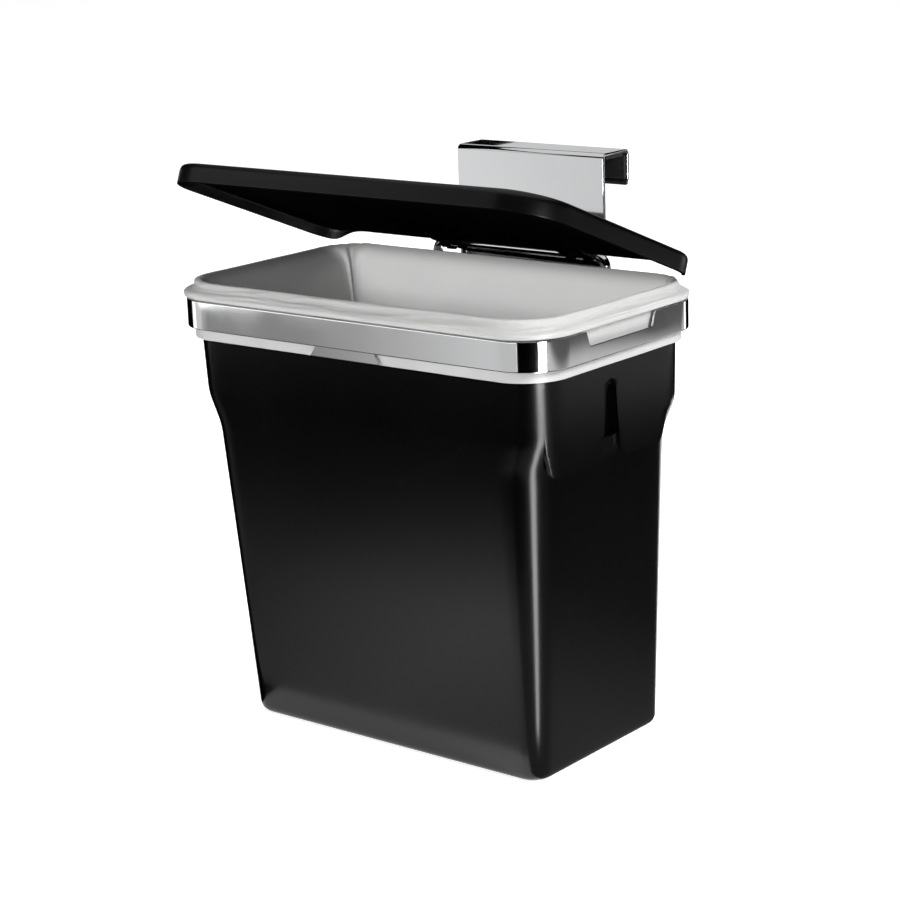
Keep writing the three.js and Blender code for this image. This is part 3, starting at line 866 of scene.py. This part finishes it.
def card_material(name, across, upward, strength):
    """Glow that varies over a card: across and upward hold (position, level) stops."""
    material = bpy.data.materials.new(name)
    material.use_nodes = True
    tree = material.node_tree
    tree.nodes.clear()
    output = tree.nodes.new("ShaderNodeOutputMaterial")
    glow = tree.nodes.new("ShaderNodeEmission")
    glow.inputs["Strength"].default_value = strength
    source = tree.nodes.new("ShaderNodeTexCoord")
    split = tree.nodes.new("ShaderNodeSeparateXYZ")
    tree.links.new(source.outputs["UV"], split.inputs[0])
    product = tree.nodes.new("ShaderNodeMix")
    product.data_type = "RGBA"
    product.blend_type = "MULTIPLY"
    product.inputs["Factor"].default_value = 1
    for axis, stops, socket in (("X", across, "A"), ("Y", upward, "B")):
        colors = tree.nodes.new("ShaderNodeValToRGB")
        tree.links.new(split.outputs[axis], colors.inputs["Fac"])
        elements = colors.color_ramp.elements
        for element, (position, value) in zip(elements, (stops[0], stops[-1])):
            element.position, element.color = position, (value, value, value, 1)
        for position, value in stops[1:-1]:
            elements.new(position).color = (value, value, value, 1)
        tree.links.new(colors.outputs["Color"], product.inputs[socket])
    tree.links.new(product.outputs["Result"], glow.inputs["Color"])
    tree.links.new(glow.outputs["Emission"], output.inputs["Surface"])
    return material


EVEN = [(0, 1.0), (1, 1.0)]


def card(name, corners, across=EVEN, upward=EVEN, strength=1.0):
    """A reflector card from its four corners (mm), seen only in glossy reflections."""
    obj = plane(name, [tuple(v * MM for v in c) for c in corners],
                card_material(name + "_glow", across, upward, strength))
    for kind in ("camera", "diffuse", "shadow", "transmission", "volume_scatter"):
        setattr(obj, f"visible_{kind}", False)


def flat(left, right, front, back, z):
    """Corners of a level card."""
    return [(left, front, z), (right, front, z), (right, back, z), (left, back, z)]


def upright(azimuth, width_deg, distance, low, high):
    """Corners of an upright card round the bin; azimuth 0 is in front, 90 on the right."""
    ends = [math.radians(azimuth + side * width_deg / 2) for side in (-1, 1)]
    foot = [(distance * math.sin(a), -distance * math.cos(a)) for a in ends]
    return [(*foot[0], low), (*foot[1], low), (*foot[1], high), (*foot[0], high)]


FAN_FROM = (120, -62)                # under the bin's front right corner


def fan(azimuth, width_deg, near, far, z):
    """Corners of a strip on the floor that widens away from the bin's front right corner."""
    left, right = (math.radians(azimuth + side * width_deg / 2) for side in (-1, 1))
    return [(FAN_FROM[0] + reach * math.sin(a), FAN_FROM[1] - reach * math.cos(a), z)
            for a, reach in ((left, near), (right, near), (right, far), (left, far))]


REACH, TALL = 850, 330               # distance and height of the upright cards

# The steel: black behind the camera, a bright edge with a dark line on the right, gray sides.
card("dark_card_camera", upright(39.2, 41.5, 900, 0, 1200), strength=0.0)
card("bright_card_right", upright(67, 14, REACH, 0, 360), strength=20.0)
card("dark_line_card", upright(76, 10, 870, 0, 400), strength=0.0)
card("gray_card_side", upright(116, 80, REACH, 68, TALL), [(0, 0.62), (0.7, 0.62), (1, 0.55)],
     [(0, 1.0), (0.22, 1.0), (0.28, 0.16), (1, 0.14)])
card("dark_card_right_back", upright(195, 62, REACH, 0, TALL), strength=0.0)
card("dark_card_left_back", upright(-116, 78, REACH, 0, TALL), strength=0.0)
card("gray_card_front", upright(-40, 50, REACH, 62, 150),
     [(0, 0.66), (0.30, 0.66), (0.38, 0.26), (0.50, 0.26), (0.72, 0.66), (1, 0.60)])
card("gray_card_front_right", upright(1.2, 34.6, REACH, 62, 150), [(0, 0.60), (1, 0.60)])

# The rod, the lid's front and top, and the hook's plate and bridge.
card("rod_card", upright(-42, 30, 1150, 290, 600), strength=1.1)
card("lid_card", upright(-46, 30, 1200, 620, 1150), [(0, 1.0), (0.5, 0.7), (1, 0.1)],
     [(0, 0.2), (0.4, 1.0), (1, 1.0)], 0.9)
card("card_behind", upright(217, 50, 1200, 400, 900), [(0, 0.66), (1, 0.56)])
card("sky_card", flat(-1500, 1500, -1500, 1500, 2000), strength=0.7)
card("hook_card", [(-140, 55, 309), (60, 55, 309), (60, 50, 370), (-140, 50, 370)],
     [(0, 0.82), (1, 0.68)])

# Black close to the hinge, which keeps the white rim out of the plate and the rod.
card("hinge_dark_card", flat(-75, 75, 62, 86, 288.3), strength=0.0)
card("hinge_dark_card_front",
     [(-75, 87.2, 280), (75, 87.2, 280), (75, 87.2, 288.3), (-75, 87.2, 288.3)], strength=0.0)

# On the floor: what the bucket's own sides and front right corner mirror.
card("floor_card_front", flat(-1100, 900, -1100, -86, 1),
     [(0, 0.0), (0.30, 0.18), (0.42, 0.35), (0.53, 1.15), (0.60, 1.0), (0.63, 0.0)],
     [(0, 0.0), (0.64, 0.0), (0.74, 0.30), (0.86, 1.0), (1, 0.62)])
card("floor_card_side", flat(112, 1000, -300, 1200, 1.5),
     [(0, 0.32), (0.12, 0.28), (0.3, 0.16), (1, 0.06)],
     [(0, 1.0), (0.22, 1.0), (0.34, 0.3), (1, 0.05)])
card("floor_card_left", flat(-1100, -120, -86, 1200, 1), strength=0.0)
card("floor_card_bright", fan(65, 15, 40, 640, 2), strength=13.0)


def area(name, location, target, size, power):
    """A soft lamp aimed at a target (metres), kept out of glossy reflections and the view."""
    light = bpy.data.lights.new(name, "AREA")
    light.energy = power
    light.shape = "RECTANGLE"
    light.size, light.size_y = size
    obj = bpy.data.objects.new(name, light)
    obj.location = location
    obj.rotation_euler = (Vector(target) - Vector(location)).to_track_quat("-Z", "Y").to_euler()
    obj.visible_glossy = False
    obj.visible_camera = False
    scene.collection.objects.link(obj)


area("key_overhead", (0.6, 0.2, 2.3), (0, 0, 0.2), (1.2, 1.2), 20)
area("fill_front", (-0.3, -1.9, 0.80), (0, 0, 0.25), (0.7, 0.4), 30)
area("fill_right", (1.9, 0.1, 1.55), (0, 0, 0.27), (0.8, 0.7), 85)

world = bpy.data.worlds.new("studio")
world.use_nodes = True
world.node_tree.nodes["Background"].inputs["Color"].default_value = (1, 1, 1, 1)
world.node_tree.nodes["Background"].inputs["Strength"].default_value = 0.45
world.cycles_visibility.glossy = False
scene.world = world

# The camera stands in front on the right, a little above the rim, and looks slightly down.
AZIMUTH, ELEVATION, ROLL = (math.radians(v) for v in (39.07, 14.56, -1.96))
TARGET, DISTANCE, LENS = Vector((0.009416, 0.0, 0.179487)), 1.4891, 95.92
ahead = Vector((-math.sin(AZIMUTH) * math.cos(ELEVATION), math.cos(AZIMUTH) * math.cos(ELEVATION),
                -math.sin(ELEVATION)))
level = Vector((math.cos(AZIMUTH), math.sin(AZIMUTH), 0))
raised = level.cross(ahead)
right = level * math.cos(ROLL) + raised * math.sin(ROLL)
up = raised * math.cos(ROLL) - level * math.sin(ROLL)
camera_data = bpy.data.cameras.new("camera")
camera_data.lens = LENS
camera_data.sensor_width = 36
camera_data.clip_start, camera_data.clip_end = 0.05, 100
camera = bpy.data.objects.new("camera", camera_data)
camera.matrix_world = Matrix.Translation(TARGET - ahead * DISTANCE) @ Matrix(
    (right, up, -ahead)).transposed().to_4x4()
scene.collection.objects.link(camera)
scene.camera = camera
scene.view_settings.view_transform = "Standard"
